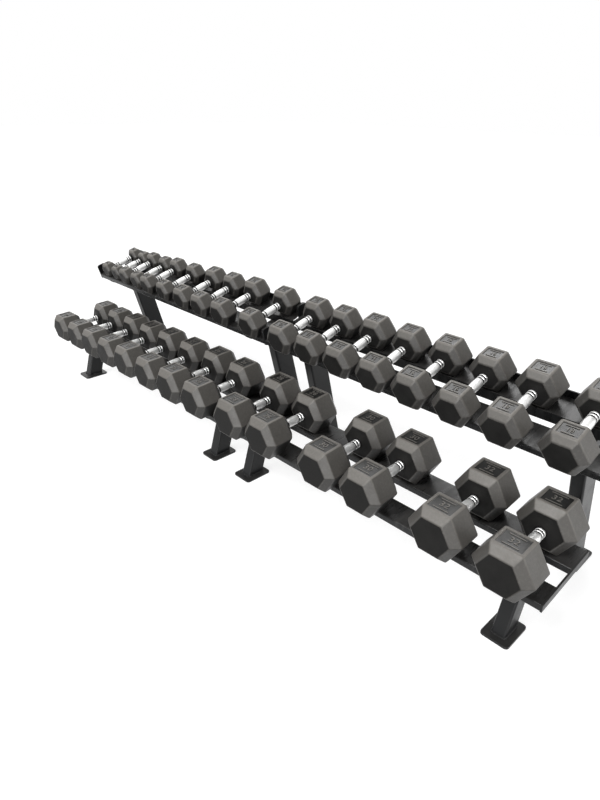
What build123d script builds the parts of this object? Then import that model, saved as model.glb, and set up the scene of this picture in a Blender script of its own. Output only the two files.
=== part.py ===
from build123d import *
import os
from math import cos, radians, sin, sqrt

# A two-tier steel dumbbell rack: two equal units stand end to end and carry rubber hex dumbbells.
# Millimetres. X runs along the rack, -Y faces the user, Z is up.
# The origin is on the floor under the middle of the loaded rack.

os.makedirs("parts", exist_ok=True)

# Rack units and their side frames
unit_length = 1400.0
frame_inset = 113.5
tube_width = 47.0
tube_wall = 3.0
tube_corner = 7.0

# Base plates under each leg and post
plate_width = 92.0
plate_thickness = 8.0
plate_corner = 10.0
plate_toe = 25.0
plate_heel = 20.0

# Front legs lean back, rear posts lean forward. Depths are measured level, along Y.
leg_depth = 78.0
post_depth = 98.0
base_spread = 388.0
leg_top_offset = -66.0
post_top_offset = -4.0

# Tiers. Each datum is the front edge of that tier's back tray, on its top face.
lower_setback = 148.5
lower_height = 243.5
lower_tilt = 3.5
tier_step_back = 216.5
tier_rise = 329.5
upper_tilt = 16.0

# Trays folded from sheet, open underneath
sheet = 3.0
bend_radius = 5.0
tray_depth = 25.0
tray_return = 30.0
lower_front_tray = 92.0
lower_tray_gap = 91.0
lower_back_tray = 110.0
upper_front_tray = 110.0
upper_tray_gap = 50.0
upper_back_tray = 110.0

# Stop bars on the upper back trays
stop_thickness = 4.0
front_stop_rise = 12.0
rear_stop_rise = 25.0

# Plates on the tray ends
end_plate = 6.0
end_tab_width = 50.0
end_tab_rise = 48.0
end_tab_corner = 12.0
rear_tab_setback = 10.0

# Arms under the trays, their end caps and the bolts that hold the trays down
arm_height = 45.0
nose_margin = 7.0
cap_thickness = 3.0
bolt_radius = 5.0
bolt_clearance = 0.5
bolt_head_flats = 16.0
bolt_head_height = 6.4
nut_height = 8.0
nut_clearance = 0.3
bolt_tail = 2.0

# Dumbbells
grip_length = 118.0
boss_length = 8.0
boss_share = 0.29
boss_lip = 4.0
handle_margin = 13.5
handle_growth = 0.025
neck_share = 0.86
neck_length = 6.0
spigot_share = 0.72
socket_depth = 36.0
socket_clearance = 0.3
face_chamfer = 0.14
side_chamfer = 0.15
lower_overhang = 69.0
stop_clearance = 0.3
left_row_setback = 15.0

# Hex heads of each pair, from the light end to the heavy end: across the flats, and long.
# They and the gaps are in thousandths of a unit's length, so each row always fits its unit.
upper_left_pairs = ((51.4, 40.7), (58.6, 45.7), (65.7, 50.7), (74.3, 57.9), (80.0, 61.4))
upper_right_pairs = ((85.0, 64.3), (87.9, 66.4), (90.0, 69.3), (93.6, 72.9))
lower_left_pairs = ((96.4, 82.1), (99.3, 84.3), (104.3, 86.4), (107.9, 89.3))
lower_right_pairs = ((110.0, 90.0), (112.1, 92.1), (117.9, 93.6))

# Clear room in front of each dumbbell's widest corners, from the unit's left end
upper_left_gaps = (30.7, 12.1, 7.1, 15.7, 7.9, 30.0, 40.0, 15.7, 25.0, 48.6)
upper_right_gaps = (49.3, 10.7, 12.9, 12.1, 13.6, 13.6, 14.3, 27.9)
lower_left_gaps = (1.4, 1.4, 1.4, 1.4, 2.9, 12.9, 10.7, 7.1)
lower_right_gaps = (20.7, 11.4, 75.7, 10.0, 70.0, 18.6)

# Places along Y before centring, from the front of the legs' bases
corner_ratio = 2 / sqrt(3)
unit_thousandth = unit_length / 1000
leg_base = leg_depth / 2
post_base = leg_depth + base_spread + post_depth / 2
upper_setback = lower_setback + tier_step_back
upper_height = lower_height + tier_rise
front_reach = lower_front_tray + lower_tray_gap + lower_overhang
largest = max(lower_left_pairs + lower_right_pairs)[0] * unit_thousandth
front_end = (
    lower_setback
    - front_reach * cos(radians(lower_tilt))
    - largest * (1 - face_chamfer) * sin(radians(lower_tilt))
)
rear_end = post_base + post_depth / 2 + plate_toe
middle = (front_end + rear_end) / 2


# A tier's plane: its x runs along the rack, its y up the slope to the back, its z off the tray
def tier_plane(setback, height, tilt):
    slope = radians(tilt)
    return Plane((0, setback - middle, height), x_dir=(1, 0, 0), z_dir=(0, -sin(slope), cos(slope)))


# The plane square to X at one place, with its x up the tier's slope and its y off the tray
def cross_plane(tier, x):
    return Plane(tier.from_local_coords((x, 0, 0)), x_dir=tier.y_dir, z_dir=(1, 0, 0))


# The plane square to the slope at one point of a tier
def slope_plane(tier, x, along, off):
    return Plane(tier.from_local_coords((x, along, off)), x_dir=(1, 0, 0), z_dir=tier.y_dir)


lower_tier = tier_plane(lower_setback, lower_height, lower_tilt)
upper_tier = tier_plane(upper_setback, upper_height, upper_tilt)
arm_bottom = -tray_depth - arm_height

# The first and last edge of each tray, measured up the slope from the tier's datum
lower_front_edges = (-lower_tray_gap - lower_front_tray, -lower_tray_gap)
lower_back_edges = (0.0, lower_back_tray)
upper_front_edges = (-upper_tray_gap - upper_front_tray, -upper_tray_gap)
upper_back_edges = (0.0, upper_back_tray)

unit_starts = {"left": -unit_length, "right": 0.0}
frame_places = {
    "left_outer": -unit_length + frame_inset,
    "left_inner": -frame_inset,
    "right_inner": frame_inset,
    "right_outer": unit_length - frame_inset,
}


# Write one finished piece, or a group of separate pieces, as one file
def save(shape, name):
    shape.label = name
    export_step(shape, f"parts/{name}.step")


# Base plates, each with its leg or post standing between a toe and a heel
front_plate_length = plate_toe + leg_depth + plate_heel
rear_plate_length = plate_heel + post_depth + plate_toe
front_plate_middle = leg_base + (plate_heel - plate_toe) / 2 - middle
rear_plate_middle = post_base + (plate_toe - plate_heel) / 2 - middle

with BuildPart() as base_plates:
    with BuildSketch():
        with Locations([(x, front_plate_middle) for x in frame_places.values()]):
            RectangleRounded(plate_width, front_plate_length, plate_corner)
        with Locations([(x, rear_plate_middle) for x in frame_places.values()]):
            RectangleRounded(plate_width, rear_plate_length, plate_corner)
    extrude(amount=plate_thickness)
save(base_plates.part, "base_plates")


# A tube that leans from its base plate to the underside of an arm, cut to both
def leaning_tube(x, base, depth, tier, top_offset):
    foot = Vector(x, base - middle, plate_thickness)
    lean = tier.from_local_coords((x, top_offset, arm_bottom)) - foot
    square_depth = depth * lean.normalized().Z
    with BuildPart() as tube:
        with BuildSketch(Plane(foot - lean, x_dir=(1, 0, 0), z_dir=lean)):
            RectangleRounded(tube_width, square_depth, tube_corner)
            RectangleRounded(
                tube_width - 2 * tube_wall,
                square_depth - 2 * tube_wall,
                tube_corner - tube_wall,
                mode=Mode.SUBTRACT,
            )
        extrude(amount=lean.length * 3)
        split(bisect_by=Plane.XY.offset(plate_thickness), keep=Keep.TOP)
        split(bisect_by=tier.offset(arm_bottom), keep=Keep.BOTTOM)
    return tube.part


for frame, x in frame_places.items():
    save(leaning_tube(x, leg_base, leg_depth, lower_tier, leg_top_offset), f"{frame}_front_leg")
    save(leaning_tube(x, post_base, post_depth, upper_tier, post_top_offset), f"{frame}_rear_post")


# Bolts stand in the rear return of each tray
def bolt_places(front_edges, back_edges):
    return (front_edges[1] - tray_return / 2, back_edges[1] - tray_return / 2)


lower_bolts = bolt_places(lower_front_edges, lower_back_edges)
upper_bolts = bolt_places(upper_front_edges, upper_back_edges)


# The slanting plane of an arm's nose, from the trays' front edge to just ahead of its leg or post
def nose_plane(tier, first, last):
    corner = tier.from_local_coords((0, first, -tray_depth))
    return Plane(corner, x_dir=(1, 0, 0), z_dir=tier.y_dir * -arm_height - tier.z_dir * (last - first))


# A straight arm under the trays, its nose cut off at a slant, drilled on top for the tray bolts
def arm_tube(tier, x, first, last, nose, bolts):
    with BuildPart() as arm:
        with BuildSketch(slope_plane(tier, x, first, arm_bottom + arm_height / 2)):
            RectangleRounded(tube_width, arm_height, tube_corner)
            RectangleRounded(
                tube_width - 2 * tube_wall,
                arm_height - 2 * tube_wall,
                tube_corner - tube_wall,
                mode=Mode.SUBTRACT,
            )
        extrude(amount=last - first)
        split(bisect_by=nose.offset(-cap_thickness), keep=Keep.BOTTOM)
        with BuildSketch(tier.offset(-tray_depth)):
            with Locations([(x, along) for along in bolts]):
                Circle(bolt_radius + bolt_clearance)
        extrude(amount=-tube_wall, mode=Mode.SUBTRACT)
    return arm.part


lower_arm_front = lower_front_edges[0]
upper_arm_front = upper_front_edges[0]
upper_arm_rear = upper_back_edges[1] - cap_thickness
lower_nose_end = leg_top_offset - leg_depth / 2 - nose_margin
upper_nose_end = post_top_offset - post_depth / 2 - nose_margin
lower_nose = nose_plane(lower_tier, lower_arm_front, lower_nose_end)
upper_nose = nose_plane(upper_tier, upper_arm_front, upper_nose_end)
arm_overrun = base_spread + post_depth

# The face of the rear posts that the lower arms butt against
post_foot = Vector(0, post_base - middle, plate_thickness)
post_lean = upper_tier.from_local_coords((0, post_top_offset, arm_bottom)) - post_foot
post_face = Plane(
    post_foot - Vector(0, post_depth / 2, 0),
    x_dir=(1, 0, 0),
    z_dir=(0, -post_lean.Z, post_lean.Y),
)

for frame, x in frame_places.items():
    lower_end = lower_arm_front + 2 * arm_overrun
    with BuildPart() as lower_arm:
        add(arm_tube(lower_tier, x, lower_arm_front, lower_end, lower_nose, lower_bolts))
        split(bisect_by=post_face, keep=Keep.TOP)
    save(lower_arm.part, f"{frame}_lower_arm")
    upper_arm = arm_tube(upper_tier, x, upper_arm_front, upper_arm_rear, upper_nose, upper_bolts)
    save(upper_arm, f"{frame}_upper_arm")


# A plate that closes an arm's slanting nose, trimmed to the tube's outline
def nose_cap(tier, x, first, last, nose):
    with BuildPart() as cap:
        with BuildSketch(slope_plane(tier, x, first, arm_bottom + arm_height / 2)):
            RectangleRounded(tube_width, arm_height, tube_corner)
        extrude(amount=last - first + arm_height)
        split(bisect_by=nose, keep=Keep.BOTTOM)
        split(bisect_by=nose.offset(-cap_thickness), keep=Keep.TOP)
    return cap.part


# A plate that closes an arm's square rear end
def rear_cap(tier, x, end):
    with BuildPart() as cap:
        with BuildSketch(slope_plane(tier, x, end, arm_bottom + arm_height / 2)):
            RectangleRounded(tube_width, arm_height, tube_corner)
        extrude(amount=cap_thickness)
    return cap.part


caps = []
for x in frame_places.values():
    caps.append(nose_cap(lower_tier, x, lower_arm_front, lower_nose_end, lower_nose))
    caps.append(nose_cap(upper_tier, x, upper_arm_front, upper_nose_end, upper_nose))
    caps.append(rear_cap(upper_tier, x, upper_arm_rear))
save(Compound(children=caps), "arm_end_caps")


# A hex bolt down through a tray's return and an arm's top wall, and the nut inside the arm
def bolt_and_nut(tier, x, along):
    arm_top = -tray_depth - tube_wall
    shank_length = sheet + tube_wall + nut_height + bolt_tail
    with BuildPart() as bolt:
        with BuildSketch(tier.offset(sheet - tray_depth)):
            with Locations((x, along)):
                RegularPolygon(bolt_head_flats / 2, 6, major_radius=False)
        extrude(amount=bolt_head_height)
        with BuildSketch(tier.offset(sheet - tray_depth)):
            with Locations((x, along)):
                Circle(bolt_radius)
        extrude(amount=-shank_length)
    with BuildPart() as nut:
        with BuildSketch(tier.offset(arm_top)):
            with Locations((x, along)):
                RegularPolygon(bolt_head_flats / 2, 6, major_radius=False)
                Circle(bolt_radius + nut_clearance, mode=Mode.SUBTRACT)
        extrude(amount=-nut_height)
    return [bolt.part, nut.part]


fasteners = []
for x in frame_places.values():
    for along in lower_bolts:
        fasteners += bolt_and_nut(lower_tier, x, along)
    for along in upper_bolts:
        fasteners += bolt_and_nut(upper_tier, x, along)
save(Compound(children=fasteners), "tray_bolts")


# A folded tray: a flat top, two flanges turned down and two returns that lie on the arms
def folded_tray(tier, start, edges, bolt):
    first, last = edges
    frames = [x for x in frame_places.values() if start < x < start + unit_length]
    with BuildPart() as tray:
        with BuildSketch(cross_plane(tier, start + end_plate)):
            with BuildLine():
                FilletPolyline(
                    (first + tray_return, -tray_depth),
                    (first, -tray_depth),
                    (first, 0),
                    (last, 0),
                    (last, -tray_depth),
                    (last - tray_return, -tray_depth),
                    radius=bend_radius,
                )
                offset(amount=sheet, side=Side.RIGHT)
            make_face()
        extrude(amount=unit_length - 2 * end_plate)
        with BuildSketch(tier.offset(-tray_depth)):
            with Locations([(x, bolt) for x in frames]):
                Circle(bolt_radius + bolt_clearance)
        extrude(amount=sheet, mode=Mode.SUBTRACT)
    return tray.part


# A flat stop bar on a tray's flange, standing above the tray
def stop_bar(tier, start, first, rise):
    with BuildPart() as bar:
        with BuildSketch(cross_plane(tier, start + end_plate)):
            with Locations((first, -tray_depth)):
                Rectangle(stop_thickness, tray_depth + rise, align=(Align.MIN, Align.MIN))
        extrude(amount=unit_length - 2 * end_plate)
    return bar.part


for unit, start in unit_starts.items():
    save(folded_tray(lower_tier, start, lower_front_edges, lower_bolts[0]), f"{unit}_lower_front_tray")
    save(folded_tray(lower_tier, start, lower_back_edges, lower_bolts[1]), f"{unit}_lower_back_tray")
    save(folded_tray(upper_tier, start, upper_front_edges, upper_bolts[0]), f"{unit}_upper_front_tray")
    back_tray = [
        folded_tray(upper_tier, start, upper_back_edges, upper_bolts[1]),
        stop_bar(upper_tier, start, upper_back_edges[0] - stop_thickness, front_stop_rise),
        stop_bar(upper_tier, start, upper_back_edges[1], rear_stop_rise),
    ]
    save(Compound(children=back_tray), f"{unit}_upper_back_tray")


# A low plate ties both lower trays at a unit's end, flush with their tops
def lower_end_plate(x):
    length = lower_back_edges[1] - lower_front_edges[0]
    with BuildPart() as plate:
        with BuildSketch(cross_plane(lower_tier, x)):
            with Locations((lower_front_edges[0], -tray_depth)):
                Rectangle(length, tray_depth, align=(Align.MIN, Align.MIN))
        extrude(amount=end_plate)
    return plate.part


# A tall tab with rounded top corners stands on the end of one upper tray
def upper_end_tab(x, first):
    with BuildPart() as tab:
        with BuildSketch(cross_plane(upper_tier, x)) as outline:
            with Locations((first, -tray_depth)):
                Rectangle(end_tab_width, tray_depth + end_tab_rise, align=(Align.MIN, Align.MIN))
            fillet(outline.vertices().sort_by(Axis.Y)[-2:], end_tab_corner)
        extrude(amount=end_plate)
    return tab.part


end_plates = []
for start in unit_starts.values():
    for x in (start, start + unit_length - end_plate):
        end_plates.append(lower_end_plate(x))
        end_plates.append(upper_end_tab(x, upper_front_edges[0]))
        end_plates.append(upper_end_tab(x, upper_back_edges[1] - rear_tab_setback - end_tab_width))
save(Compound(children=end_plates), "tray_end_plates")


# One dumbbell, its axis up the tier's slope and a flat of each head on the trays
def make_dumbbell(tier, x, centre, flats, head_length):
    middle_plane = slope_plane(tier, x, centre, flats / 2)
    inner = grip_length / 2
    handle_radius = handle_margin + flats * handle_growth
    neck_radius = handle_radius * neck_share
    spigot_radius = handle_radius * spigot_share
    shoulder = inner - boss_length
    spigot_end = inner + socket_depth
    axis = Axis(middle_plane.origin, tier.y_dir)
    with BuildPart() as heads:
        with BuildSketch(middle_plane.offset(inner)):
            RegularPolygon(flats / 2, 6, major_radius=False)
        extrude(amount=head_length)
        for end in (0, -1):
            face = heads.faces().sort_by(axis)[end]
            chamfer(face.edges(), flats * face_chamfer, flats * side_chamfer, reference=face)
        with Locations(middle_plane.offset(shoulder)):
            Cone(
                handle_radius + boss_lip,
                flats * boss_share,
                boss_length,
                align=(Align.CENTER, Align.CENTER, Align.MIN),
            )
        with BuildSketch(middle_plane.offset(shoulder)):
            Circle(spigot_radius + socket_clearance)
        extrude(amount=spigot_end - shoulder, mode=Mode.SUBTRACT)
        mirror(about=middle_plane)
    axis_plane = Plane(middle_plane.origin, x_dir=tier.y_dir, z_dir=(1, 0, 0))
    with BuildPart() as handle:
        with BuildSketch(axis_plane):
            with BuildLine():
                Polyline(
                    (neck_length - shoulder, neck_radius),
                    (-shoulder, neck_radius),
                    (-shoulder, spigot_radius),
                    (-spigot_end, spigot_radius),
                    (-spigot_end, 0),
                    (spigot_end, 0),
                    (spigot_end, spigot_radius),
                    (shoulder, spigot_radius),
                    (shoulder, neck_radius),
                    (shoulder - neck_length, neck_radius),
                )
                ThreePointArc(
                    (shoulder - neck_length, neck_radius),
                    (0, handle_radius),
                    (neck_length - shoulder, neck_radius),
                )
            make_face()
        revolve(axis=axis)
    return Compound(children=[heads.part, handle.part])


# The dumbbells on one tier of one unit: each one's place along X, flats and head length
def row(start, pairs, gaps):
    places = []
    edge = start
    singles = [pair for pair in pairs for _ in range(2)]
    for (flats_share, length_share), gap_share in zip(singles, gaps):
        flats = flats_share * unit_thousandth
        width = flats * corner_ratio
        edge += gap_share * unit_thousandth
        places.append((edge + width / 2, flats, length_share * unit_thousandth))
        edge += width
    return places


# Lower dumbbells line up at their front ends
lower_row = row(-unit_length, lower_left_pairs, lower_left_gaps)
lower_row += row(0.0, lower_right_pairs, lower_right_gaps)
for number, (x, flats, head_length) in enumerate(lower_row, start=1):
    centre = head_length + grip_length / 2 - front_reach
    save(make_dumbbell(lower_tier, x, centre, flats, head_length), f"lower_dumbbell_{number:02d}")

# Upper dumbbells have their rear heads at the stop bar. On the left unit they stand back from it.
upper_row = row(-unit_length, upper_left_pairs, upper_left_gaps)
upper_row += row(0.0, upper_right_pairs, upper_right_gaps)
for number, (x, flats, head_length) in enumerate(upper_row, start=1):
    setback = left_row_setback if x < 0 else stop_clearance
    centre = setback - grip_length / 2
    save(make_dumbbell(upper_tier, x, centre, flats, head_length), f"upper_dumbbell_{number:02d}")
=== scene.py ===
import math

import bmesh
import bpy
from mathutils import Matrix, Vector


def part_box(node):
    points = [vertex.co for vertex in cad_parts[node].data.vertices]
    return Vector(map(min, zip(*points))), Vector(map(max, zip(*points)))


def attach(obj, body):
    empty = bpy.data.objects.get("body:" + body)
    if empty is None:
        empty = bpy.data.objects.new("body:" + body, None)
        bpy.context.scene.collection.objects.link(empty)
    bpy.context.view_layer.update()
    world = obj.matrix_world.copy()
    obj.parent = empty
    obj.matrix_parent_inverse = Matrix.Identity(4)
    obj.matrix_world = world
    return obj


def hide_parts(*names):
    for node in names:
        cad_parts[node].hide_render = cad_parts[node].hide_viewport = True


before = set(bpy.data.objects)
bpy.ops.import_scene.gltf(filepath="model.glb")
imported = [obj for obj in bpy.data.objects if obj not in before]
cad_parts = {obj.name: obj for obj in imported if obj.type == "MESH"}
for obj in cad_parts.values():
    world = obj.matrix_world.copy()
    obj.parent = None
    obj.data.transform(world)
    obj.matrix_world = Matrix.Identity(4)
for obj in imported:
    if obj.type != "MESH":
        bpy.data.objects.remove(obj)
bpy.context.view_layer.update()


# Base plates: flat steel plates with rounded corners, one under every leg and post.
# They are laser-cut, their rims are eased, and they carry the same black powder coat as
# the rest of the frame.
PLATE_WIDTH = 0.092
PLATE_THICKNESS = 0.008
PLATE_CORNER = 0.010
PLATE_EASE = 0.0014
PLATE_EASE_STEPS = 2
ROUND_PROFILE = 0.5
PLATE_CORNER_STEPS = 6
PLATE_WEAR = 1.0
FRONT_PLATE_LENGTH = 0.123
REAR_PLATE_LENGTH = 0.143
FRAMES = ("left_outer", "left_inner", "right_inner", "right_outer")


def middle_x(node):
    low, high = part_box(node)
    return (low.x + high.x) / 2


def rounded_outline(width, depth, corner, steps):
    """Points of a rounded rectangle round the origin, anticlockwise seen from above."""
    points = []
    for turn, (sx, sy) in enumerate(((1, 1), (-1, 1), (-1, -1), (1, -1))):
        for step in range(steps + 1):
            angle = math.pi / 2 * (turn + step / steps)
            x = sx * (width / 2 - corner) + corner * math.cos(angle)
            y = sy * (depth / 2 - corner) + corner * math.sin(angle)
            points.append((x, y))
    return points


def finish_mesh(bm, name):
    """Turns a bmesh into a linked object at the origin."""
    mesh = bpy.data.meshes.new(name)
    bm.to_mesh(mesh)
    bm.free()
    piece = bpy.data.objects.new(name, mesh)
    bpy.context.scene.collection.objects.link(piece)
    return piece


def eased_plate(bm, outline, place, thickness, ease):
    """A plate on an outline, extruded along the place's z, with both rims eased."""
    edge_layer = bm.faces.layers.float.get("edge") or bm.faces.layers.float.new("edge")
    low = [bm.verts.new(place @ Vector((x, y, 0))) for x, y in outline]
    high = [bm.verts.new(place @ Vector((x, y, thickness))) for x, y in outline]
    count = len(outline)
    faces = [bm.faces.new(list(reversed(low))), bm.faces.new(high)]
    for i in range(count):
        j = (i + 1) % count
        wall = bm.faces.new((low[i], low[j], high[j], high[i]))
        wall.smooth = True
    rims = [edge for face in faces for edge in face.edges]
    eased = bmesh.ops.bevel(
        bm, geom=rims, offset=ease, segments=PLATE_EASE_STEPS, profile=ROUND_PROFILE, affect="EDGES"
    )
    for face in eased["faces"]:
        face.smooth = True
        face[edge_layer] = PLATE_WEAR


def new_group(name, inputs, outputs):
    """An empty shader node group with named float inputs, as (name, default), and float outputs."""
    group = bpy.data.node_groups.new(name, "ShaderNodeTree")
    for label, default in inputs:
        socket = group.interface.new_socket(label, in_out="INPUT", socket_type="NodeSocketFloat")
        socket.default_value = default
    for label in outputs:
        group.interface.new_socket(label, in_out="OUTPUT", socket_type="NodeSocketFloat")
    return group, group.nodes.new("NodeGroupInput"), group.nodes.new("NodeGroupOutput")


def math_node(tree, operation, *values):
    """A math node whose inputs are numbers or sockets; gives back its output."""
    node = tree.nodes.new("ShaderNodeMath")
    node.operation = operation
    for socket, value in zip(node.inputs, values):
        if isinstance(value, (int, float)):
            socket.default_value = value
        else:
            tree.links.new(value, socket)
    return node.outputs[0]


def range_node(tree, value, low, high, to_low, to_high):
    """Leads one range of a value over into another, smoothly; gives back its output."""
    node = tree.nodes.new("ShaderNodeMapRange")
    node.interpolation_type = "SMOOTHSTEP"
    tree.links.new(value, node.inputs["Value"])
    node.inputs["From Min"].default_value = low
    node.inputs["From Max"].default_value = high
    node.inputs["To Min"].default_value = to_low
    node.inputs["To Max"].default_value = to_high
    return node.outputs["Result"]


# surface_grain: fine relief and broad patches that every moulded or coated surface shows
grain_group, grain_in, grain_out = new_group(
    "surface_grain", (("Grain Scale", 1000.0), ("Patch Scale", 12.0)), ("Height", "Patches")
)
place_node = grain_group.nodes.new("ShaderNodeTexCoord")
fine = grain_group.nodes.new("ShaderNodeTexNoise")
fine.inputs["Detail"].default_value = 3.0
fine.inputs["Roughness"].default_value = 0.6
broad = grain_group.nodes.new("ShaderNodeTexNoise")
broad.inputs["Detail"].default_value = 4.0
broad.inputs["Roughness"].default_value = 0.6
for node, label in ((fine, "Grain Scale"), (broad, "Patch Scale")):
    grain_group.links.new(place_node.outputs["Object"], node.inputs["Vector"])
    grain_group.links.new(grain_in.outputs[label], node.inputs["Scale"])
grain_group.links.new(fine.outputs["Fac"], grain_out.inputs["Height"])
grain_group.links.new(
    range_node(grain_group, broad.outputs["Fac"], 0.3, 0.7, 0.0, 1.0), grain_out.inputs["Patches"]
)

# A thin pale film on faces that look up, fading out as they steepen, broken by noise: dust on the frame and
# trays, and on the rubber heads dust with painted light from above
film_group, film_in, film_out = new_group(
    "upward_film", (("Amount", 0.3), ("Steepest", 0.35), ("Flattest", 1.0)), ("Mask",)
)
facing = film_group.nodes.new("ShaderNodeNewGeometry")
split = film_group.nodes.new("ShaderNodeSeparateXYZ")
film_group.links.new(facing.outputs["Normal"], split.inputs[0])
film_place = film_group.nodes.new("ShaderNodeTexCoord")
film_noise = film_group.nodes.new("ShaderNodeTexNoise")
film_noise.inputs["Scale"].default_value = 120.0
film_noise.inputs["Detail"].default_value = 6.0
film_noise.inputs["Roughness"].default_value = 0.7
film_group.links.new(film_place.outputs["Object"], film_noise.inputs["Vector"])
upward = range_node(film_group, split.outputs["Z"], 0.0, 1.0, 0.0, 1.0)
film_group.links.new(film_in.outputs["Steepest"], upward.node.inputs["From Min"])
film_group.links.new(film_in.outputs["Flattest"], upward.node.inputs["From Max"])
broken = range_node(film_group, film_noise.outputs["Fac"], 0.35, 0.7, 0.78, 1.0)
film = math_node(film_group, "MULTIPLY", upward, broken)
film_group.links.new(
    math_node(film_group, "MULTIPLY", film, film_in.outputs["Amount"]), film_out.inputs["Mask"]
)

# Paler marks where eased edges and chamfers have been handled and knocked: wear on the frame, and on the
# rubber heads wear with painted light on the chamfers and a painted highlight on the raised numbers and ribs
marks_group, marks_in, marks_out = new_group(
    "edge_marks", (("Amount", 0.5), ("Scale", 60.0), ("Evenness", 0.15)), ("Mask",)
)
edge_mark = marks_group.nodes.new("ShaderNodeAttribute")
edge_mark.attribute_name = "edge"
marks_place = marks_group.nodes.new("ShaderNodeTexCoord")
marks_noise = marks_group.nodes.new("ShaderNodeTexNoise")
marks_noise.inputs["Detail"].default_value = 5.0
marks_group.links.new(marks_place.outputs["Object"], marks_noise.inputs["Vector"])
marks_group.links.new(marks_in.outputs["Scale"], marks_noise.inputs["Scale"])
patchy = range_node(marks_group, marks_noise.outputs["Fac"], 0.35, 0.65, 0.0, 1.0)
patchy = math_node(marks_group, "MAXIMUM", patchy, marks_in.outputs["Evenness"])
marked = math_node(marks_group, "MULTIPLY", edge_mark.outputs["Fac"], patchy)
marks_group.links.new(
    math_node(marks_group, "MULTIPLY", marked, marks_in.outputs["Amount"]), marks_out.inputs["Mask"]
)


def place_group(tree, group, **values):
    node = tree.nodes.new("ShaderNodeGroup")
    node.node_tree = group
    for label, value in values.items():
        node.inputs[label.replace("_", " ")].default_value = value
    return node


def mix_colour(tree, factor, first, second):
    """Mixes two colours, each a tuple or a socket, by a factor socket."""
    node = tree.nodes.new("ShaderNodeMix")
    node.data_type = "RGBA"
    tree.links.new(factor, node.inputs["Factor"])
    for socket, value in ((node.inputs[6], first), (node.inputs[7], second)):
        if isinstance(value, tuple):
            socket.default_value = (*value, 1.0)
        else:
            tree.links.new(value, socket)
    return node.outputs[2]


def bump_node(tree, height, strength, distance):
    node = tree.nodes.new("ShaderNodeBump")
    node.inputs["Strength"].default_value = strength
    node.inputs["Distance"].default_value = distance
    tree.links.new(height, node.inputs["Height"])
    return node.outputs["Normal"]


def new_material(name):
    material = bpy.data.materials.new(name)
    material.use_nodes = True
    return material, material.node_tree, material.node_tree.nodes["Principled BSDF"]


COAT_BLACK = (0.0085, 0.0088, 0.0092)
COAT_WORN = (0.030, 0.030, 0.031)
COAT_DUST = (0.105, 0.100, 0.094)

powder_coat, tree, shader = new_material("black_powder_coat")
grain = place_group(tree, grain_group, Grain_Scale=1150.0, Patch_Scale=9.0)
top_film = place_group(tree, film_group, Amount=0.16)
marks = place_group(tree, marks_group, Amount=0.55, Scale=70.0)
colour = mix_colour(tree, marks.outputs["Mask"], COAT_BLACK, COAT_WORN)
tree.links.new(mix_colour(tree, top_film.outputs["Mask"], colour, COAT_DUST), shader.inputs["Base Color"])
tree.links.new(range_node(tree, grain.outputs["Patches"], 0.0, 1.0, 0.30, 0.42), shader.inputs["Roughness"])
tree.links.new(bump_node(tree, grain.outputs["Height"], 0.22, 0.0004), shader.inputs["Normal"])
shader.inputs["Specular IOR Level"].default_value = 0.22

plates = bmesh.new()
plates_low, plates_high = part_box("base_plates")
for name in FRAMES:
    x = middle_x(f"{name}_front_leg")
    for length, y in (
        (FRONT_PLATE_LENGTH, plates_low.y + FRONT_PLATE_LENGTH / 2),
        (REAR_PLATE_LENGTH, plates_high.y - REAR_PLATE_LENGTH / 2),
    ):
        outline = rounded_outline(PLATE_WIDTH, length, PLATE_CORNER, PLATE_CORNER_STEPS)
        eased_plate(plates, outline, Matrix.Translation((x, y, 0)), PLATE_THICKNESS, PLATE_EASE)
base_plates = finish_mesh(plates, "base_plate_set")
base_plates.data.materials.append(powder_coat)
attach(base_plates, "rack")
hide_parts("base_plates")


# Legs, posts and arms: rectangular steel tube with rounded corners. The front legs lean back
# under the lower trays, the rear posts lean forward to the upper trays, and an arm on each
# carries the trays, its slanting nose closed by a plate. Mitred, welded and powder coated black.
tubes = [f"{name}_{part}" for name in FRAMES for part in ("front_leg", "rear_post", "lower_arm", "upper_arm")]
for name in tubes + ["arm_end_caps"]:
    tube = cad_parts[name]
    tube.data.materials.clear()
    tube.data.materials.append(powder_coat)


# Weld beads: a rippled fillet runs round the foot of every leg and post where it meets its
# base plate, laid by hand and coated over.
BEAD_RADIUS = 0.0034
RIPPLE_PITCH = 0.0027
RIPPLE_SQUASH = 0.62
RIPPLE_SEGMENTS = 8
RIPPLE_RINGS = 5
TUBE_WIDTH = 0.047
TUBE_CORNER = 0.007
TUBE_CORNER_STEPS = 4
LEG_DEPTH = 0.078
POST_DEPTH = 0.098
PLATE_TOE = 0.025


def set_input(modifier, label, value):
    """Sets a Geometry Nodes modifier's input, found by its name, through its identifier."""
    for item in modifier.node_group.interface.items_tree:
        if item.item_type == "SOCKET" and item.in_out == "INPUT" and item.name == label:
            modifier[item.identifier] = value


def settle(piece):
    """Replaces a piece's mesh by what its modifiers make of it, and removes them."""
    graph = bpy.context.evaluated_depsgraph_get()
    graph.update()
    made = bpy.data.meshes.new_from_object(piece.evaluated_get(graph))
    made.name = piece.name
    piece.modifiers.clear()
    piece.data = made


def new_tree(name, inputs):
    """An empty Geometry Nodes tree with named inputs, as (name, socket type)."""
    tree = bpy.data.node_groups.new(name, "GeometryNodeTree")
    tree.interface.new_socket("Geometry", in_out="INPUT", socket_type="NodeSocketGeometry")
    for label, kind in inputs:
        tree.interface.new_socket(label, in_out="INPUT", socket_type=kind)
    tree.interface.new_socket("Geometry", in_out="OUTPUT", socket_type="NodeSocketGeometry")
    return tree, tree.nodes.new("NodeGroupInput"), tree.nodes.new("NodeGroupOutput")


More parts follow.
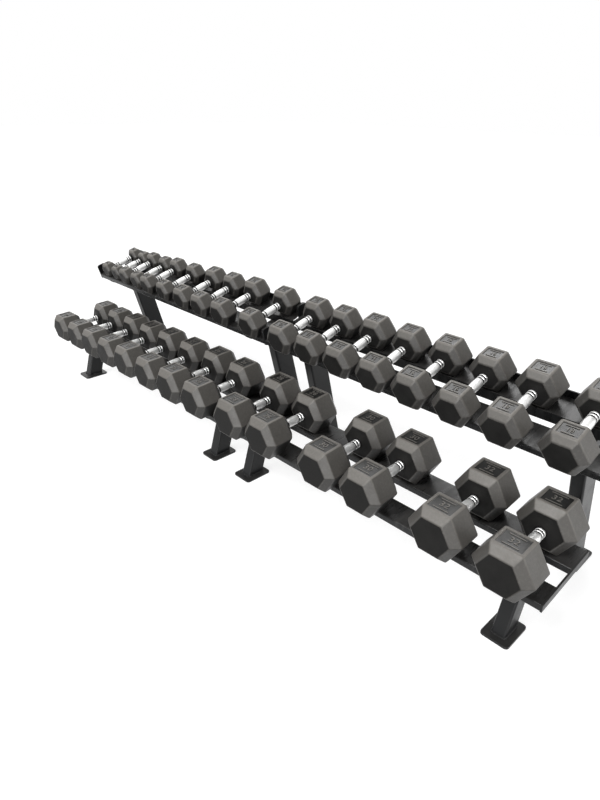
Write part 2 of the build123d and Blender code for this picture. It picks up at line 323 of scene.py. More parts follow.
weld_tree, weld_in, weld_out = new_tree(
    "weld_ripples",
    (
        ("Ripple Pitch", "NodeSocketFloat"),
        ("Bead Radius", "NodeSocketFloat"),
        ("Ripple Squash", "NodeSocketFloat"),
        ("Finish", "NodeSocketMaterial"),
    ),
)
seam = weld_tree.nodes.new("GeometryNodeMeshToCurve")
spaced = weld_tree.nodes.new("GeometryNodeResampleCurve")
spaced.mode = "LENGTH"
ripple = weld_tree.nodes.new("GeometryNodeMeshUVSphere")
ripple.inputs["Segments"].default_value = RIPPLE_SEGMENTS
ripple.inputs["Rings"].default_value = RIPPLE_RINGS
along = weld_tree.nodes.new("GeometryNodeInputTangent")
turned = weld_tree.nodes.new("FunctionNodeAlignRotationToVector")
turned.axis = "X"
squash = weld_tree.nodes.new("ShaderNodeCombineXYZ")
squash.inputs["Y"].default_value = 1.0
squash.inputs["Z"].default_value = 1.0
laid = weld_tree.nodes.new("GeometryNodeInstanceOnPoints")
merged = weld_tree.nodes.new("GeometryNodeRealizeInstances")
smooth = weld_tree.nodes.new("GeometryNodeSetShadeSmooth")
painted = weld_tree.nodes.new("GeometryNodeSetMaterial")
for source, target in (
    (weld_in.outputs["Geometry"], seam.inputs[0]),
    (seam.outputs[0], spaced.inputs["Curve"]),
    (weld_in.outputs["Ripple Pitch"], spaced.inputs["Length"]),
    (weld_in.outputs["Bead Radius"], ripple.inputs["Radius"]),
    (weld_in.outputs["Ripple Squash"], squash.inputs["X"]),
    (along.outputs[0], turned.inputs["Vector"]),
    (spaced.outputs[0], laid.inputs["Points"]),
    (ripple.outputs["Mesh"], laid.inputs["Instance"]),
    (turned.outputs[0], laid.inputs["Rotation"]),
    (squash.outputs[0], laid.inputs["Scale"]),
    (laid.outputs[0], merged.inputs[0]),
    (merged.outputs[0], smooth.inputs[0]),
    (smooth.outputs[0], painted.inputs["Geometry"]),
    (weld_in.outputs["Finish"], painted.inputs["Material"]),
    (painted.outputs[0], weld_out.inputs[0]),
):
    weld_tree.links.new(source, target)

seams = bmesh.new()
for name in FRAMES:
    x = middle_x(f"{name}_front_leg")
    for depth, y in (
        (LEG_DEPTH, plates_low.y + PLATE_TOE + LEG_DEPTH / 2),
        (POST_DEPTH, plates_high.y - PLATE_TOE - POST_DEPTH / 2),
    ):
        outline = rounded_outline(TUBE_WIDTH, depth, TUBE_CORNER, TUBE_CORNER_STEPS)
        corners = [seams.verts.new((x + px, y + py, PLATE_THICKNESS)) for px, py in outline]
        for first, second in zip(corners, corners[1:] + corners[:1]):
            seams.edges.new((first, second))
weld_beads = finish_mesh(seams, "weld_beads")
modifier = weld_beads.modifiers.new("ripples", "NODES")
modifier.node_group = weld_tree
set_input(modifier, "Ripple Pitch", RIPPLE_PITCH)
set_input(modifier, "Bead Radius", BEAD_RADIUS)
set_input(modifier, "Ripple Squash", RIPPLE_SQUASH)
set_input(modifier, "Finish", powder_coat)
settle(weld_beads)
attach(weld_beads, "rack")


# Tray bolts: hex bolts and nuts in black oxide steel that clamp the trays to the arms. Each goes
# down through a tray's rear return and the arm's top wall, with its nut inside the arm.
OXIDE = (0.035, 0.034, 0.034)
OXIDE_PALE = (0.063, 0.0612, 0.0612)

bolt_steel, tree, shader = new_material("black_oxide")
grain = place_group(tree, grain_group, Grain_Scale=900.0, Patch_Scale=80.0)
tree.links.new(
    mix_colour(tree, grain.outputs["Patches"], OXIDE, OXIDE_PALE), shader.inputs["Base Color"]
)
tree.links.new(range_node(tree, grain.outputs["Patches"], 0.0, 1.0, 0.32, 0.5), shader.inputs["Roughness"])
shader.inputs["Metallic"].default_value = 0.9
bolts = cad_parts["tray_bolts"]
bolts.data.materials.clear()
bolts.data.materials.append(bolt_steel)


# Trays: shallow channels folded from steel sheet, with stop bars on the upper back pair.
# Their semi-gloss black coat is dusty on top and dulled across the slope where heads slide on.
SCUFFS_PER_METRE = Vector((55.0, 6.0, 6.0))
TRAY_SCUFF = (0.040, 0.039, 0.038)

tray_coat, tree, shader = new_material("tray_powder_coat")
grain = place_group(tree, grain_group, Grain_Scale=1150.0, Patch_Scale=7.0)
top_film = place_group(tree, film_group, Amount=0.2)
streak_place = tree.nodes.new("ShaderNodeTexCoord")
streak_map = tree.nodes.new("ShaderNodeMapping")
streak_map.inputs["Scale"].default_value = SCUFFS_PER_METRE
streaks = tree.nodes.new("ShaderNodeTexNoise")
streaks.inputs["Scale"].default_value = 1.0
streaks.inputs["Detail"].default_value = 6.0
tree.links.new(streak_place.outputs["Object"], streak_map.inputs["Vector"])
tree.links.new(streak_map.outputs["Vector"], streaks.inputs["Vector"])
scuffs = range_node(tree, streaks.outputs["Fac"], 0.5, 0.78, 0.0, 0.6)
colour = mix_colour(tree, scuffs, COAT_BLACK, TRAY_SCUFF)
tree.links.new(mix_colour(tree, top_film.outputs["Mask"], colour, COAT_DUST), shader.inputs["Base Color"])
tree.links.new(range_node(tree, streaks.outputs["Fac"], 0.35, 0.75, 0.26, 0.44), shader.inputs["Roughness"])
tree.links.new(bump_node(tree, grain.outputs["Height"], 0.2, 0.0004), shader.inputs["Normal"])
shader.inputs["Specular IOR Level"].default_value = 0.26
for unit in ("left", "right"):
    for tray in ("lower_front", "lower_back", "upper_front", "upper_back"):
        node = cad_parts[f"{unit}_{tray}_tray"]
        node.data.materials.clear()
        node.data.materials.append(tray_coat)


# Tray end plates: a low plate ties the lower trays at each end of a unit, and tall tabs with
# rounded corners stop the dumbbells at the ends of the upper trays. Welded on and coated.
end_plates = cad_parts["tray_end_plates"]
end_plates.data.materials.clear()
end_plates.data.materials.append(powder_coat)


# Dumbbell heads: a hex casting in a thick charcoal rubber skin, chamfered at both ends, with a
# low cone where the handle enters and a sunk label panel on top that holds a plain number
# between two ribs. They are moulded on and sit with a flat on the trays.
LOWER_TILT = math.radians(3.5)
UPPER_TILT = math.radians(16.0)
GRIP_LENGTH = 0.118
FACE_CHAMFER = 0.14
SIDE_CHAMFER = 0.15
EDGE_ROUND = 0.0030
EDGE_ROUND_LIGHT = 0.0055
EDGE_ROUND_STEPS = 3
SQUARE_ON = 0.99
HANDLE_MARGIN = 0.0135
HANDLE_GROWTH = 0.025
BOSS_LENGTH = 0.008
BOSS_SHARE = 0.29
BOSS_LIP = 0.004
BOSS_STEPS = 48
BOSS_RUN_OUT = 1.20
FIRST_CORNER_SLACK = 0.1
PANEL_MARGIN = 0.045
PANEL_SLOPE = 0.0022
PANEL_DEPTH = 0.0030
NUMBER_RISE = 0.0018
NUMBER_SHARE = 0.52
RIB_SHARE = 0.66
RIB_WIDTH = 0.0028
RIB_PLACE = 0.36
WEIGHT_STEP = 2
# The chamfer and number amounts paint light: the end chamfers are paler as wear and painted light, the raised
# numbers and ribs as wear and a painted highlight
CHAMFER_WEAR_AND_LIGHT = 0.25
EDGE_WEAR = 0.4
WALL_WEAR = 0.3
NUMBER_WEAR_AND_HIGHLIGHT = 0.4
BOSS_CLEAN = 0.4
LIGHT_FLATS = 0.075
HEAVY_FLATS = 0.150
RUBBER_DARK = (0.009, 0.0088, 0.0085)
RUBBER_PALE = (0.013, 0.0127, 0.0122)
RUBBER_RUBBED_AND_LIT = (0.250, 0.236, 0.216)
RUBBER_DUST_AND_TOP_LIGHT = (0.158, 0.148, 0.134)
RUBBER_CLEAN = (0.014, 0.0138, 0.0133)

rubber, tree, shader = new_material("charcoal_rubber")
grain = place_group(tree, grain_group, Grain_Scale=1500.0, Patch_Scale=22.0)
# On the heads the pale film on upward faces is dust and painted light from above, which lightens the tops and
# upper chamfers
top_film = place_group(tree, film_group, Amount=0.85, Steepest=-0.03, Flattest=1.0)
marks = place_group(tree, marks_group, Amount=0.5, Scale=130.0, Evenness=0.65)
colour = mix_colour(tree, grain.outputs["Patches"], RUBBER_DARK, RUBBER_PALE)
# Pale rubbed rubber: wear on the eased edges, with painted light on the chamfers and a painted highlight on
# the raised numbers and ribs
colour = mix_colour(tree, marks.outputs["Mask"], colour, RUBBER_RUBBED_AND_LIT)
colour = mix_colour(tree, top_film.outputs["Mask"], colour, RUBBER_DUST_AND_TOP_LIGHT)
clean_mark = tree.nodes.new("ShaderNodeAttribute")
clean_mark.attribute_name = "clean"
tree.links.new(
    mix_colour(tree, clean_mark.outputs["Fac"], colour, RUBBER_CLEAN), shader.inputs["Base Color"]
)
dull = range_node(tree, grain.outputs["Patches"], 0.0, 1.0, 0.40, 0.50)
polish = range_node(tree, clean_mark.outputs["Fac"], 0.5, 1.0, 1.0, 0.72)
tree.links.new(math_node(tree, "MULTIPLY", dull, polish), shader.inputs["Roughness"])
matt_mark = tree.nodes.new("ShaderNodeAttribute")
matt_mark.attribute_name = "matt"
sheen = range_node(tree, clean_mark.outputs["Fac"], 0.5, 1.0, 0.34, 0.42)
matt = range_node(tree, matt_mark.outputs["Fac"], 0.0, 1.0, 1.0, 0.2)
tree.links.new(math_node(tree, "MULTIPLY", sheen, matt), shader.inputs["Specular IOR Level"])
tree.links.new(bump_node(tree, grain.outputs["Height"], 0.30, 0.0005), shader.inputs["Normal"])


def hex_ring(bm, flats, y):
    """Six corners of a hexagon square to Y, with flats above and below."""
    half_side = flats / 2 / math.sqrt(3)
    corners = ((2, 0), (1, 1), (-1, 1), (-2, 0), (-1, -1), (1, -1))
    return [bm.verts.new((a * half_side, y, b * flats / 2)) for a, b in corners]


def bridge(bm, first, second):
    faces = []
    count = len(first)
    for i in range(count):
        j = (i + 1) % count
        faces.append(bm.faces.new((first[i], first[j], second[j], second[i])))
    return faces


def turn_from_x(vert):
    """A corner's angle round Y, counted from just before the X axis so that the one on it is first."""
    return (math.atan2(vert.co.z, vert.co.x) + FIRST_CORNER_SLACK) % (2 * math.pi)


def head_mesh(flats, length):
    """The rear head of a dumbbell, with the middle of the handle at the origin."""
    bm = bmesh.new()
    edge_layer = bm.faces.layers.float.new("edge")
    clean = bm.faces.layers.float.new("clean")
    matt = bm.faces.layers.float.new("matt")
    inner = GRIP_LENGTH / 2
    outer = inner + length
    face_flats = flats * (1 - 2 * FACE_CHAMFER)
    chamfer = flats * SIDE_CHAMFER
    rings = [
        hex_ring(bm, face_flats, inner),
        hex_ring(bm, flats, inner + chamfer),
        hex_ring(bm, flats, outer - chamfer),
        hex_ring(bm, face_flats, outer),
    ]
    # Both end chamfers are paler: wear with painted light
    for first, second, marked in zip(rings, rings[1:], (CHAMFER_WEAR_AND_LIGHT, 0.0, CHAMFER_WEAR_AND_LIGHT)):
        for face in bridge(bm, first, second):
            face[edge_layer] = marked
    for ring in (rings[-1], list(reversed(rings[0]))):
        bm.faces.new(ring)[matt] = 1.0
    bmesh.ops.recalc_face_normals(bm, faces=bm.faces)

    # Ease every edge; the light heads are moulded rounder
    heft = min(1.0, max(0.0, (flats - LIGHT_FLATS) / (HEAVY_FLATS - LIGHT_FLATS)))
    ease = EDGE_ROUND_LIGHT + heft * (EDGE_ROUND - EDGE_ROUND_LIGHT)
    eased = bmesh.ops.bevel(
        bm,
        geom=list(bm.edges),
        offset=ease,
        segments=EDGE_ROUND_STEPS,
        profile=ROUND_PROFILE,
        affect="EDGES",
    )
    for face in eased["faces"]:
        face.smooth = True
        face[edge_layer] = EDGE_WEAR

    # Sink the label panel into the top flat
    bm.faces.ensure_lookup_table()
    top = max((f for f in bm.faces if f.normal.z > SQUARE_ON), key=lambda f: f.calc_area())
    bmesh.ops.inset_individual(bm, faces=[top], thickness=flats * PANEL_MARGIN)
    walls = bmesh.ops.inset_individual(bm, faces=[top], thickness=PANEL_SLOPE, depth=-PANEL_DEPTH)
    for face in walls["faces"]:
        face[edge_layer] = WALL_WEAR
    top[clean] = 1.0
    panel = [v.co.copy() for v in top.verts]

    # Raise the low cone round the handle from the inner face. Its outline gives each loop's share
    # of the cone's length, and its share of the way from the tip's radius to the base's.
    face = max((f for f in bm.faces if f.normal.y < -SQUARE_ON), key=lambda f: f.calc_area())
    corners = sorted(face.verts, key=turn_from_x)
    bm.faces.remove(face)
    base = flats * BOSS_SHARE
    tip = HANDLE_MARGIN + flats * HANDLE_GROWTH + BOSS_LIP
    room = face_flats / 2 - ease
    profile = (
        (0.0, BOSS_RUN_OUT),
        (0.0, 1.08),
        (0.03, 0.98),
        (0.12, 0.88),
        (0.80, 0.18),
        (0.93, 0.06),
        (0.99, 0.0),
        (1.0, -0.1),
        (1.0, -0.4),
    )
    loops = []
    for share, spread in profile:
        y = inner - share * BOSS_LENGTH
        radius = min(tip + spread * (base - tip), room * spread / BOSS_RUN_OUT)
        angles = [2 * math.pi * i / BOSS_STEPS for i in range(BOSS_STEPS)]
        loops.append([bm.verts.new((radius * math.cos(a), y, radius * math.sin(a))) for a in angles])
    for side, corner in enumerate(corners):
        sides = len(corners)
        steps = range(side * BOSS_STEPS // sides, (side + 1) * BOSS_STEPS // sides + 1)
        arc = [loops[0][step % BOSS_STEPS] for step in steps]
        bm.faces.new([corner] + arc + [corners[(side + 1) % sides]])[matt] = 1.0
    for first, second in zip(loops, loops[1:]):
        for face in bridge(bm, first, second):
            face.smooth = True
            face[matt] = 1.0
            face[clean] = BOSS_CLEAN
    bm.faces.new(loops[-1])
    bmesh.ops.recalc_face_normals(bm, faces=bm.faces)
    mesh = bpy.data.meshes.new("head")
    bm.to_mesh(mesh)
    bm.free()
    return mesh, panel


def raised_number(text, height, thickness):
    """A plain raised number, centred on the origin, with its baseline along X."""
    curve = bpy.data.curves.new("number", "FONT")
    curve.body = text
    curve.size = height
    curve.align_x = "CENTER"
    curve.align_y = "CENTER"
    curve.extrude = thickness / 2
    curve.resolution_u = 3
    holder = bpy.data.objects.new("number", curve)
    bpy.context.scene.collection.objects.link(holder)
    graph = bpy.context.evaluated_depsgraph_get()
    mesh = bpy.data.meshes.new_from_object(holder.evaluated_get(graph))
    bpy.data.objects.remove(holder)
    bpy.data.curves.remove(curve)
    return mesh


def add_mesh(bm, mesh, place):
    """Appends a mesh to a bmesh at a place, and gives back its faces."""
    verts_before = len(bm.verts)
    faces_before = len(bm.faces)
    bm.from_mesh(mesh)
    bm.verts.ensure_lookup_table()
    bm.faces.ensure_lookup_table()
    bmesh.ops.transform(bm, matrix=place, verts=bm.verts[verts_before:])
    return bm.faces[faces_before:]


def add_rib(bm, place, length, width, rise):
    """A flat-topped rib, and its faces."""
    size = Matrix.Diagonal((length, width, rise, 1.0))
    made = bmesh.ops.create_cube(bm, size=1.0, matrix=place @ size)
    return {face for vert in made["verts"] for face in vert.link_faces}


def dumbbell_facts(node, tilt):
    """A dumbbell's place, its size across the flats and its head length, all from its CAD solid."""
    low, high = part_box(node)
    flats = (high.x - low.x) * math.sqrt(3) / 2
    reach = (0.5 - FACE_CHAMFER) * flats * math.sin(tilt)
    overall = ((high.y - low.y) - 2 * reach) / math.cos(tilt)
    slope = Vector((0, math.cos(tilt), math.sin(tilt)))
    off = Vector((0, -math.sin(tilt), math.cos(tilt)))
    place = Matrix((Vector((1, 0, 0)), slope, off)).transposed().to_4x4()
    place.translation = (low + high) / 2
    return place, flats, (overall - GRIP_LENGTH) / 2


def build_heads(node, tilt, weight):
    place, flats, length = dumbbell_facts(node, tilt)
    head, panel = head_mesh(flats, length)
    panel_width = max(p.x for p in panel) - min(p.x for p in panel)
    panel_depth = max(p.y for p in panel) - min(p.y for p in panel)
    floor = panel[0].z
    panel_y = sum(p.y for p in panel) / len(panel)
    number = raised_number(str(weight), panel_depth * NUMBER_SHARE, NUMBER_RISE)
    bm = bmesh.new()
    add_mesh(bm, head, Matrix.Identity(4))
    add_mesh(bm, head, Matrix.Rotation(math.pi, 4, "Z"))
    edge_layer = bm.faces.layers.float["edge"]
    for side in (1, -1):
        raised = list(add_mesh(bm, number, Matrix.Translation((0, side * panel_y, floor + NUMBER_RISE / 2))))
        for end in (1, -1):
            y = side * panel_y + end * panel_depth * RIB_PLACE
            rib = Matrix.Translation((0, y, floor + NUMBER_RISE / 2))
            raised += add_rib(bm, rib, panel_width * RIB_SHARE, RIB_WIDTH, NUMBER_RISE)
        # The raised numbers and ribs are paler: wear with a painted highlight
        for face in raised:
            face[edge_layer] = NUMBER_WEAR_AND_HIGHLIGHT
    bmesh.ops.transform(bm, matrix=place, verts=bm.verts)
    heads = finish_mesh(bm, f"{node}_heads")
    heads.data.materials.clear()
    heads.data.materials.append(rubber)
    bpy.data.meshes.remove(head)
    bpy.data.meshes.remove(number)
    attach(heads, node)
    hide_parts(node)


tiers = (("upper", UPPER_TILT), ("lower", LOWER_TILT))
dumbbells = []
for tier, tilt in tiers:
    dumbbells += [(n, tilt) for n in sorted(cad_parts) if n.startswith(f"{tier}_dumbbell")]
for index, (node, tilt) in enumerate(dumbbells):
    build_heads(node, tilt, WEIGHT_STEP * (index // 2 + 1))


# Dumbbell handles: a turned steel bar, swelling to the middle, with a diamond knurl and two
# rings cut by grooves at each end. Chrome plated, and pressed into the heads.
HANDLE_SWELL = 0.07
RING_SHARE = 0.93
GROOVE_SHARE = 0.76
KNURL_HALF = 0.0255
GROOVE_WIDTH = 0.0056
RING_WIDTH = 0.0066
RING_EASE = 0.0012
RINGS = 2
SHARP_ANGLE = math.radians(35)
MERGE_DISTANCE = 1e-6
HANDLE_STEPS = 48
BARREL_STEPS = 12
STUD_WIDTH = 0.0032
STUD_HEIGHT = 0.00022
CHROME = (0.90, 0.90, 0.89)
CHROME_SMEAR = (0.78, 0.78, 0.77)
# The grooves are painted near black: grime, and painted shade in the grooves
GROOVE_GRIME_AND_SHADE = (0.016, 0.0155, 0.015)

chrome, tree, shader = new_material("chrome_plate")
grain = place_group(tree, grain_group, Grain_Scale=700.0, Patch_Scale=60.0)
colour = mix_colour(tree, grain.outputs["Patches"], CHROME, CHROME_SMEAR)
groove_mark = tree.nodes.new("ShaderNodeAttribute")
groove_mark.attribute_name = "groove"
tree.links.new(
    mix_colour(tree, groove_mark.outputs["Fac"], colour, GROOVE_GRIME_AND_SHADE), shader.inputs["Base Color"]
)
tree.links.new(range_node(tree, grain.outputs["Patches"], 0.0, 1.0, 0.30, 0.40), shader.inputs["Roughness"])
shader.inputs["Metallic"].default_value = 0.75

knurl_tree, knurl_in, knurl_out = new_tree(
    "diamond_knurl",
    (
        ("Grip Radius", "NodeSocketFloat"),
        ("Grip Swell", "NodeSocketFloat"),
        ("Grip Length", "NodeSocketFloat"),
        ("Studs Around", "NodeSocketInt"),
        ("Rows", "NodeSocketInt"),
        ("Stud Width", "NodeSocketFloat"),
        ("Stud Height", "NodeSocketFloat"),
        ("Finish", "NodeSocketMaterial"),
    ),
)
# Studs stand on a grid: its index gives the row, and odd rows are turned by half a stud
lattice = knurl_tree.nodes.new("GeometryNodeMeshGrid")
index = knurl_tree.nodes.new("GeometryNodeInputIndex").outputs[0]
row = math_node(knurl_tree, "MODULO", index, knurl_in.outputs["Rows"])
column = math_node(
    knurl_tree, "FLOOR", math_node(knurl_tree, "DIVIDE", index, knurl_in.outputs["Rows"])
)
half_turn = math_node(knurl_tree, "MULTIPLY", math_node(knurl_tree, "MODULO", row, 2.0), 0.5)
turn_share = math_node(
    knurl_tree, "DIVIDE", math_node(knurl_tree, "ADD", column, half_turn), knurl_in.outputs["Studs Around"]
)
angle = math_node(knurl_tree, "MULTIPLY", turn_share, 2 * math.pi)
last_row = math_node(knurl_tree, "SUBTRACT", knurl_in.outputs["Rows"], 1.0)
row_share = math_node(
    knurl_tree, "SUBTRACT", math_node(knurl_tree, "DIVIDE", row, last_row), 0.5
)
swell = math_node(
    knurl_tree,
    "MULTIPLY",
    math_node(knurl_tree, "POWER", math_node(knurl_tree, "MULTIPLY", row_share, 2.0), 2.0),
    knurl_in.outputs["Grip Swell"],
)
radius = math_node(knurl_tree, "SUBTRACT", knurl_in.outputs["Grip Radius"], swell)
across = math_node(knurl_tree, "COSINE", angle)
above = math_node(knurl_tree, "SINE", angle)
spot = knurl_tree.nodes.new("ShaderNodeCombineXYZ")
outward = knurl_tree.nodes.new("ShaderNodeCombineXYZ")
placed = knurl_tree.nodes.new("GeometryNodeSetPosition")
stud = knurl_tree.nodes.new("GeometryNodeMeshCone")
stud.inputs["Vertices"].default_value = 4
stud.inputs["Radius Top"].default_value = 0.0
half_stud = math_node(knurl_tree, "MULTIPLY", knurl_in.outputs["Stud Width"], 0.5)
stand = knurl_tree.nodes.new("FunctionNodeAlignRotationToVector")
stand.axis = "Z"
line_up = knurl_tree.nodes.new("FunctionNodeAlignRotationToVector")
line_up.axis = "X"
line_up.pivot_axis = "Z"
line_up.inputs["Vector"].default_value = (0, 1, 0)
studs = knurl_tree.nodes.new("GeometryNodeInstanceOnPoints")
cut = knurl_tree.nodes.new("GeometryNodeRealizeInstances")
whole = knurl_tree.nodes.new("GeometryNodeJoinGeometry")
plated = knurl_tree.nodes.new("GeometryNodeSetMaterial")
for source, target in (
    (knurl_in.outputs["Studs Around"], lattice.inputs["Vertices X"]),
    (knurl_in.outputs["Rows"], lattice.inputs["Vertices Y"]),
    (math_node(knurl_tree, "MULTIPLY", radius, across), spot.inputs["X"]),
    (math_node(knurl_tree, "MULTIPLY", row_share, knurl_in.outputs["Grip Length"]), spot.inputs["Y"]),
    (math_node(knurl_tree, "MULTIPLY", radius, above), spot.inputs["Z"]),
    (across, outward.inputs["X"]),
    (above, outward.inputs["Z"]),
    (lattice.outputs["Mesh"], placed.inputs["Geometry"]),
    (spot.outputs[0], placed.inputs["Position"]),
    (half_stud, stud.inputs["Radius Bottom"]),
    (knurl_in.outputs["Stud Height"], stud.inputs["Depth"]),
    (outward.outputs[0], stand.inputs["Vector"]),
    (stand.outputs[0], line_up.inputs["Rotation"]),
    (placed.outputs[0], studs.inputs["Points"]),
    (stud.outputs["Mesh"], studs.inputs["Instance"]),
    (line_up.outputs[0], studs.inputs["Rotation"]),
    (studs.outputs[0], cut.inputs[0]),
    (cut.outputs[0], whole.inputs[0]),
    (knurl_in.outputs["Geometry"], whole.inputs[0]),
    (whole.outputs[0], plated.inputs["Geometry"]),
    (knurl_in.outputs["Finish"], plated.inputs["Material"]),
    (plated.outputs[0], knurl_out.inputs[0]),
):
    knurl_tree.links.new(source, target)


def eased_step(start, end, radius, ease):
    """Profile points of a ring with eased corners."""
    return [
        (start, radius - ease),
        (start + ease, radius),
        (end - ease, radius),
        (end, radius - ease),
    ]


def handle_profile(radius):
    """Half of the handle's outline from its middle out, as (along, radius)."""
    points = []
    for step in range(BARREL_STEPS + 1):
        share = step / BARREL_STEPS
        points.append((share * KNURL_HALF, radius * (1 - HANDLE_SWELL * share**2)))
    place = KNURL_HALF + RING_EASE
    points.append((place, points[-1][1] - RING_EASE))
    for _ in range(RINGS):
        points += [(place, radius * GROOVE_SHARE), (place + GROOVE_WIDTH, radius * GROOVE_SHARE)]
        place += GROOVE_WIDTH
        points += eased_step(place, place + RING_WIDTH, radius * RING_SHARE, RING_EASE)
        place += RING_WIDTH
    points += [(place, radius * GROOVE_SHARE), (GRIP_LENGTH / 2, radius * GROOVE_SHARE), (GRIP_LENGTH / 2, 0)]
    return points


def build_handle(node, tilt):
    place, flats, _ = dumbbell_facts(node, tilt)
    radius = HANDLE_MARGIN + flats * HANDLE_GROWTH
    half = handle_profile(radius)
    outline = [(-y, r) for y, r in reversed(half)] + half[1:]
    bm = bmesh.new()
    chain = [bm.verts.new((0, y, r)) for y, r in outline]
    edges = [bm.edges.new(pair) for pair in zip(chain, chain[1:])]
    bmesh.ops.spin(
        bm, geom=chain + edges, cent=(0, 0, 0), axis=(0, 1, 0), angle=2 * math.pi, steps=HANDLE_STEPS
    )
    bmesh.ops.remove_doubles(bm, verts=bm.verts, dist=MERGE_DISTANCE)
    bmesh.ops.recalc_face_normals(bm, faces=bm.faces)
    # Faces down in the grooves are marked for the near-black groove colour, grime and painted shade
    groove_layer = bm.faces.layers.float.new("groove")
    for face in bm.faces:
        face.smooth = True
        lowest = min(math.hypot(v.co.x, v.co.z) for v in face.verts)
        face[groove_layer] = float(lowest < radius * GROOVE_SHARE + RING_EASE / 4)
    handle = finish_mesh(bm, f"{node}_handle")
    handle.data.set_sharp_from_angle(angle=SHARP_ANGLE)
    modifier = handle.modifiers.new("knurl", "NODES")
    modifier.node_group = knurl_tree
    set_input(modifier, "Grip Radius", radius)
    set_input(modifier, "Grip Swell", radius * HANDLE_SWELL)
    set_input(modifier, "Grip Length", 2 * KNURL_HALF - STUD_WIDTH)
    set_input(modifier, "Studs Around", round(2 * math.pi * radius / STUD_WIDTH))
    set_input(modifier, "Rows", round((2 * KNURL_HALF - STUD_WIDTH) / (STUD_WIDTH / 2)) + 1)
    set_input(modifier, "Stud Width", STUD_WIDTH)
    set_input(modifier, "Stud Height", STUD_HEIGHT)
    set_input(modifier, "Finish", chrome)
    settle(handle)
    handle.data.transform(place)
    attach(handle, node)
    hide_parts(node)


for node, tilt in dumbbells:
    build_handle(node, tilt)


# Stage: a plain pale floor that runs out into white all round. Broad soft lamps shine from the
# front, the right, behind and the light end, and one soft disc stands at the heavy end.
FLOOR_HALF = 30.0
FLOOR_COLOUR = (0.95, 0.95, 0.95)
FLOOR_GLOW = 0.65
GLOW_STRENGTH = 1.20
BOUNCE_COLOUR = (0.25, 0.25, 0.25)
WORLD_FILL = 0.15

floor_bm = bmesh.new()
bmesh.ops.create_grid(floor_bm, x_segments=1, y_segments=1, size=FLOOR_HALF)
floor = finish_mesh(floor_bm, "floor")


def seen_directly(tree):
    """1 for camera, glossy and transmission rays, 0 for diffuse ones."""
    path = tree.nodes.new("ShaderNodeLightPath")
    first = math_node(tree, "MAXIMUM", path.outputs["Is Camera Ray"], path.outputs["Is Glossy Ray"])
    return math_node(tree, "MAXIMUM", first, path.outputs["Is Transmission Ray"])


floor_paint = bpy.data.materials.new("pale_floor")
floor_paint.use_nodes = True
tree = floor_paint.node_tree
tree.nodes.clear()
output = tree.nodes.new("ShaderNodeOutputMaterial")
shaded = tree.nodes.new("ShaderNodeBsdfDiffuse")
shaded.inputs["Color"].default_value = (*FLOOR_COLOUR, 1)
glow = tree.nodes.new("ShaderNodeEmission")
glow.inputs["Strength"].default_value = GLOW_STRENGTH
bounce = tree.nodes.new("ShaderNodeBsdfDiffuse")
bounce.inputs["Color"].default_value = (*BOUNCE_COLOUR, 1)
visible = tree.nodes.new("ShaderNodeMixShader")
visible.inputs[0].default_value = FLOOR_GLOW
mixed = tree.nodes.new("ShaderNodeMixShader")
for source, target in (
    (shaded.outputs[0], visible.inputs[1]),
    (glow.outputs[0], visible.inputs[2]),
    (seen_directly(tree), mixed.inputs[0]),
    (bounce.outputs[0], mixed.inputs[1]),
    (visible.outputs[0], mixed.inputs[2]),
    (mixed.outputs[0], output.inputs["Surface"]),
):
    tree.links.new(source, target)
floor.data.materials.append(floor_paint)

world = bpy.data.worlds.new("studio")
bpy.context.scene.world = world
world.use_nodes = True
tree = world.node_tree
background = tree.nodes["Background"]
background.inputs["Color"].default_value = (1, 1, 1, 1)
tree.links.new(
    range_node(tree, seen_directly(tree), 0.0, 1.0, WORLD_FILL, 1.0), background.inputs["Strength"]
)

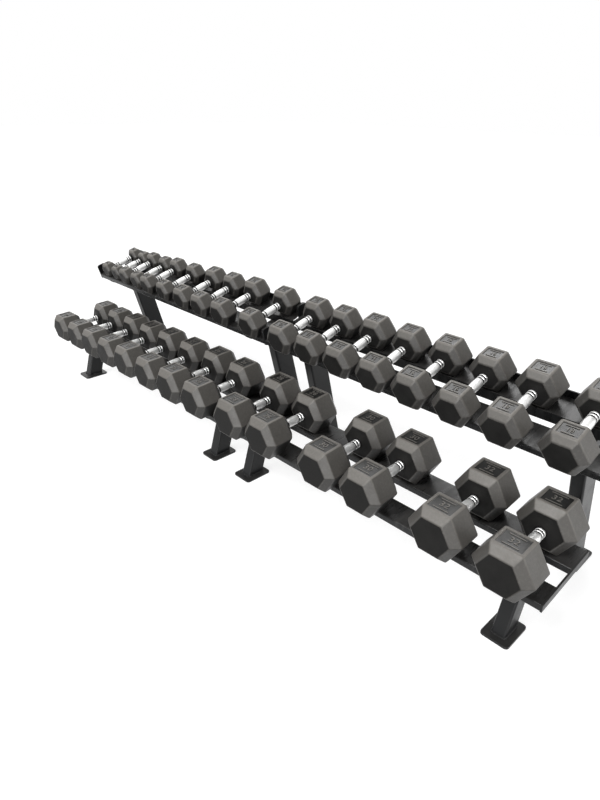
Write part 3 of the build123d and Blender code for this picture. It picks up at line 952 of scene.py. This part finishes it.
# Each broad lamp: the direction that it shines from, its strength, and its breadth in degrees
LAMPS = (
    ("front_lamp", (-0.14, -0.63, 0.76), 2.60, 25.0),
    ("right_lamp", (0.52, -0.83, 0.20), 2.60, 30.0),
    ("back_lamp", (-0.33, 0.53, 0.78), 0.90, 25.0),
    ("far_lamp", (-0.74, 0.33, 0.59), 0.40, 30.0),
)
for name, side, strength, breadth in LAMPS:
    lamp = bpy.data.lights.new(name, "SUN")
    lamp.energy = strength
    lamp.angle = math.radians(breadth)
    holder = bpy.data.objects.new(name, lamp)
    holder.rotation_euler = Vector(side).to_track_quat("Z", "Y").to_euler()
    bpy.context.scene.collection.objects.link(holder)

# The disc at the heavy end
END_LAMP_SPOT = Vector((2.9, 0.5, 0.8))
END_LAMP_AIM = Vector((1.3, 0.0, 0.4))
END_LAMP_SIZE = 1.2
END_LAMP_POWER = 13.0
end_lamp = bpy.data.lights.new("end_lamp", "AREA")
end_lamp.shape = "DISK"
end_lamp.size = END_LAMP_SIZE
end_lamp.energy = END_LAMP_POWER
holder = bpy.data.objects.new("end_lamp", end_lamp)
holder.location = END_LAMP_SPOT
holder.rotation_euler = (END_LAMP_SPOT - END_LAMP_AIM).to_track_quat("Z", "Y").to_euler()
bpy.context.scene.collection.objects.link(holder)


# Camera: it stands where the photograph was taken from, in front of the heavy end and above it.
# Its lens and its turn were fitted to the corners of the heads.
FOCAL_PIXELS = 603.1
PICTURE_HEIGHT = 800
SENSOR_WIDTH = 36.0
CAMERA_SPOT = (1.7847, -1.58565, 1.43435)
CAMERA_RIGHT = Vector((0.69919, 0.71473, 0.01712))
CAMERA_DOWN = Vector((0.33061, -0.30200, -0.89414))

camera_data = bpy.data.cameras.new("camera")
camera_data.sensor_width = SENSOR_WIDTH
camera_data.lens = FOCAL_PIXELS / PICTURE_HEIGHT * SENSOR_WIDTH
camera = bpy.data.objects.new("camera", camera_data)
bpy.context.scene.collection.objects.link(camera)
backwards = -CAMERA_RIGHT.cross(CAMERA_DOWN)
view = Matrix((CAMERA_RIGHT, -CAMERA_DOWN, backwards)).transposed().to_4x4()
view.translation = CAMERA_SPOT
camera.matrix_world = view
bpy.context.scene.camera = camera
bpy.context.scene.view_settings.view_transform = "Standard"
